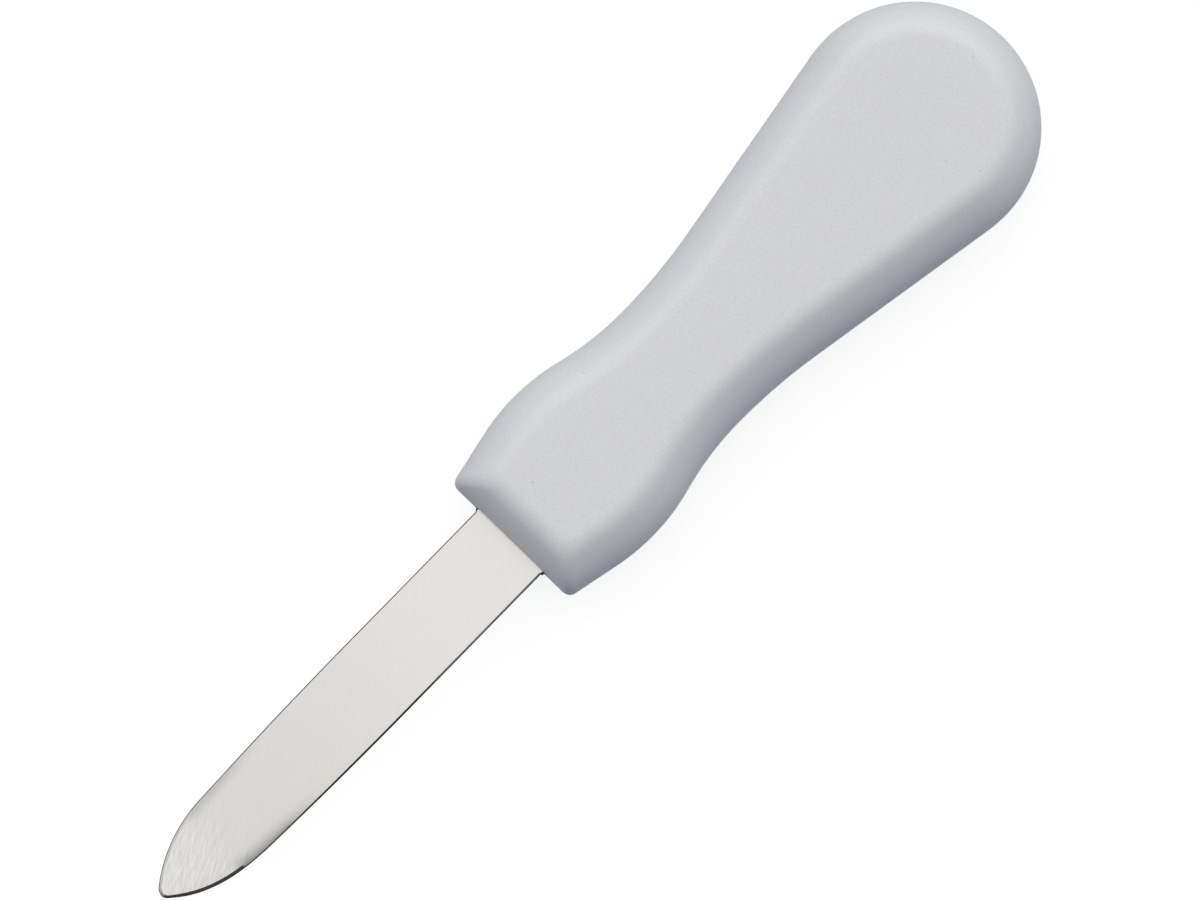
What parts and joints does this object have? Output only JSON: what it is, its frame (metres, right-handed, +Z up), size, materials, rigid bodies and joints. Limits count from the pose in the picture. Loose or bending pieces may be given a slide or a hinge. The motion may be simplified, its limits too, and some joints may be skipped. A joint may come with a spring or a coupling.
{
  "type": "oyster knife",
  "caption": "Oyster knife: a short, stiff, blunt-pointed steel blade in a flat-faced white plastic handle with a finger guard, a waist and a round butt.",
  "frame": {"origin": "centre of the knife's bounding box, on the surface that it lies on", "axes": "+X along the knife from the butt to the point, +Y across the handle, +Z up through its flats"},
  "size_m": [0.1692, 0.0356, 0.019],
  "materials": {
    "blade_steel": "satin ground stainless steel with fine grinding lines, coarser at the point",
    "handle_plastic": "matte white moulded polypropylene with a very fine stipple"
  },
  "bodies": {
    "root": {"blade": "blade_steel", "handle": "handle_plastic"}
  },
  "joints": []
}
